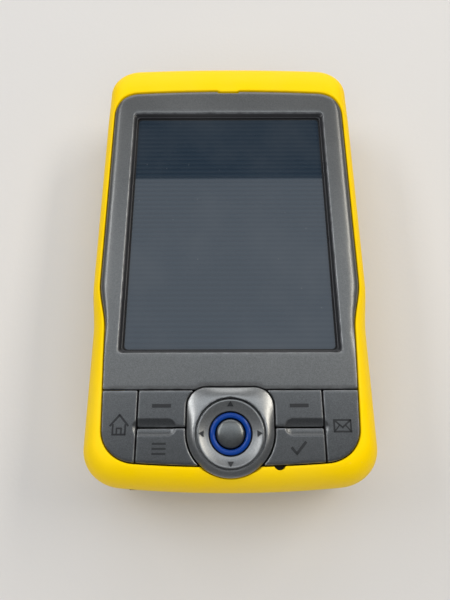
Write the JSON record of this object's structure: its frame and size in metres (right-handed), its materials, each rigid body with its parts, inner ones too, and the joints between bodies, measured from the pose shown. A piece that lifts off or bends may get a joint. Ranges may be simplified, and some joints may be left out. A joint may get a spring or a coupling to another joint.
{
  "type": "data collector",
  "caption": "Handheld field data collector with touch screen, flush keys, navigation pad, stylus, memory card and sliding battery door.",
  "frame": {"origin": "middle of the footprint, in the plane of the back face that rests on a table", "axes": "+Z out of the screen, +Y towards the top end, +X to the right of the screen"},
  "size_m": [0.0756, 0.1288, 0.03],
  "materials": {
    "yellow_casing": "satin moulded safety yellow",
    "grey_plate": "fine metallic lacquer, satin",
    "grey_keys": "fine metallic lacquer, satin, printed dark icons",
    "silver_pad": "silver lacquer, glossy",
    "blue_light": "translucent, glossy",
    "screen_glass": "smooth touch panel",
    "display": "switched-off liquid crystal panel",
    "charcoal_plastic": "fine spark texture",
    "black_rubber": "matt",
    "tin_plate": "satin",
    "steel": "satin",
    "green_board": "solder mask",
    "antenna_ceramic": "matt",
    "battery_wrap": "satin wrap",
    "gold_contacts": "plated"
  },
  "bodies": {
    "housing": {"front_casing": "yellow_casing", "rear_casing": "yellow_casing", "front_plate": "grey_plate", "nav_surround": "silver_pad", "key_mat": "black_rubber", "key_board": "green_board", "touch_panel": "screen_glass", "lcd_module": "display", "lcd_bracket": "tin_plate", "main_board": "green_board", "processor_shield": "tin_plate", "radio_shield": "tin_plate", "card_socket": "tin_plate", "gps_antenna": "antenna_ceramic", "backup_cell": "steel", "microphone": "tin_plate", "battery_contacts": "gold_contacts", "headset_jack": "charcoal_plastic", "antenna_socket": "gold_contacts", "usb_socket": "tin_plate", "stylus_silo": "charcoal_plastic", "battery_pack": "battery_wrap", "camera_window": "screen_glass", "camera_module": "charcoal_plastic", "speaker": "charcoal_plastic", "case_screw_1": "steel", "case_screw_2": "steel", "case_screw_3": "steel", "case_screw_4": "steel"},
    "home_key": {"home_key": "grey_keys"},
    "left_soft_key": {"left_soft_key": "grey_keys"},
    "start_key": {"start_key": "grey_keys"},
    "right_soft_key": {"right_soft_key": "grey_keys"},
    "ok_key": {"ok_key": "grey_keys"},
    "mail_key": {"mail_key": "grey_keys"},
    "nav_rocker": {"nav_rocker": "charcoal_plastic"},
    "nav_ring": {"nav_ring": "silver_pad", "nav_light_ring": "blue_light"},
    "centre_button": {"centre_button": "silver_pad"},
    "volume_rocker": {"volume_rocker": "charcoal_plastic"},
    "record_button": {"record_button": "charcoal_plastic"},
    "camera_button": {"camera_button": "charcoal_plastic"},
    "power_button": {"power_button": "charcoal_plastic"},
    "reset_button": {"reset_button": "charcoal_plastic"},
    "headset_cover": {"headset_cover": "black_rubber"},
    "antenna_cover": {"antenna_cover": "black_rubber"},
    "stylus": {"stylus": "charcoal_plastic"},
    "memory_card": {"memory_card": "charcoal_plastic"},
    "battery_door": {"battery_door": "charcoal_plastic"}
  },
  "joints": [
    {"name": "home_key_press", "type": "slide", "parent": "housing", "child": "home_key", "axis": [0, 0, -1], "range_m": [0, 0.00035], "stiffness_N_per_m": 2000},
    {"name": "left_soft_key_press", "type": "slide", "parent": "housing", "child": "left_soft_key", "axis": [0, 0, -1], "range_m": [0, 0.00035], "stiffness_N_per_m": 2000},
    {"name": "start_key_press", "type": "slide", "parent": "housing", "child": "start_key", "axis": [0, 0, -1], "range_m": [0, 0.00035], "stiffness_N_per_m": 2000},
    {"name": "right_soft_key_press", "type": "slide", "parent": "housing", "child": "right_soft_key", "axis": [0, 0, -1], "range_m": [0, 0.00035], "stiffness_N_per_m": 2000},
    {"name": "ok_key_press", "type": "slide", "parent": "housing", "child": "ok_key", "axis": [0, 0, -1], "range_m": [0, 0.00035], "stiffness_N_per_m": 2000},
    {"name": "mail_key_press", "type": "slide", "parent": "housing", "child": "mail_key", "axis": [0, 0, -1], "range_m": [0, 0.00035], "stiffness_N_per_m": 2000},
    {"name": "nav_up_down", "type": "hinge", "parent": "housing", "child": "nav_rocker", "pos_m": [0, -0.0506, 0.0264], "axis": [1, 0, 0], "range_deg": [-2, 2], "stiffness_Nm_per_rad": 0.2},
    {"name": "nav_left_right", "type": "hinge", "parent": "nav_rocker", "child": "nav_ring", "pos_m": [0, -0.0506, 0.0264], "axis": [0, 1, 0], "range_deg": [-2, 2], "stiffness_Nm_per_rad": 0.2},
    {"name": "centre_press", "type": "slide", "parent": "housing", "child": "centre_button", "axis": [0, 0, -1], "range_m": [0, 0.00035], "stiffness_N_per_m": 2000},
    {"name": "volume_tilt", "type": "hinge", "parent": "housing", "child": "volume_rocker", "pos_m": [-0.0342, -0.0064, 0.0166], "axis": [0, 0, 1], "range_deg": [-2.5, 2.5], "stiffness_Nm_per_rad": 0.2},
    {"name": "record_press", "type": "slide", "parent": "housing", "child": "record_button", "axis": [1, 0, 0], "range_m": [0, 0.0004], "stiffness_N_per_m": 2000},
    {"name": "camera_press", "type": "slide", "parent": "housing", "child": "camera_button", "axis": [-1, 0, 0], "range_m": [0, 0.0004], "stiffness_N_per_m": 2000},
    {"name": "power_press", "type": "slide", "parent": "housing", "child": "power_button", "axis": [0, -1, 0], "range_m": [0, 0.0004], "stiffness_N_per_m": 2000},
    {"name": "reset_press", "type": "slide", "parent": "housing", "child": "reset_button", "axis": [0, 1, 0], "range_m": [0, 0.0003], "stiffness_N_per_m": 2000},
    {"name": "headset_cover_swing", "type": "hinge", "parent": "housing", "child": "headset_cover", "pos_m": [-0.0165, -0.06375, 0.0149], "axis": [0, 0, 1], "range_deg": [0, 100]},
    {"name": "antenna_cover_swing", "type": "hinge", "parent": "housing", "child": "antenna_cover", "pos_m": [-0.012, 0.06421, 0.0149], "axis": [0, 0, -1], "range_deg": [0, 100]},
    {"name": "stylus_slide", "type": "slide", "parent": "housing", "child": "stylus", "axis": [0, 1, 0], "range_m": [0, 0.105]},
    {"name": "card_slide", "type": "slide", "parent": "housing", "child": "memory_card", "axis": [-1, 0, 0], "range_m": [0, 0.034]},
    {"name": "door_slide", "type": "slide", "parent": "housing", "child": "battery_door", "axis": [0, -1, 0], "range_m": [0, 0.08]}
  ]
}
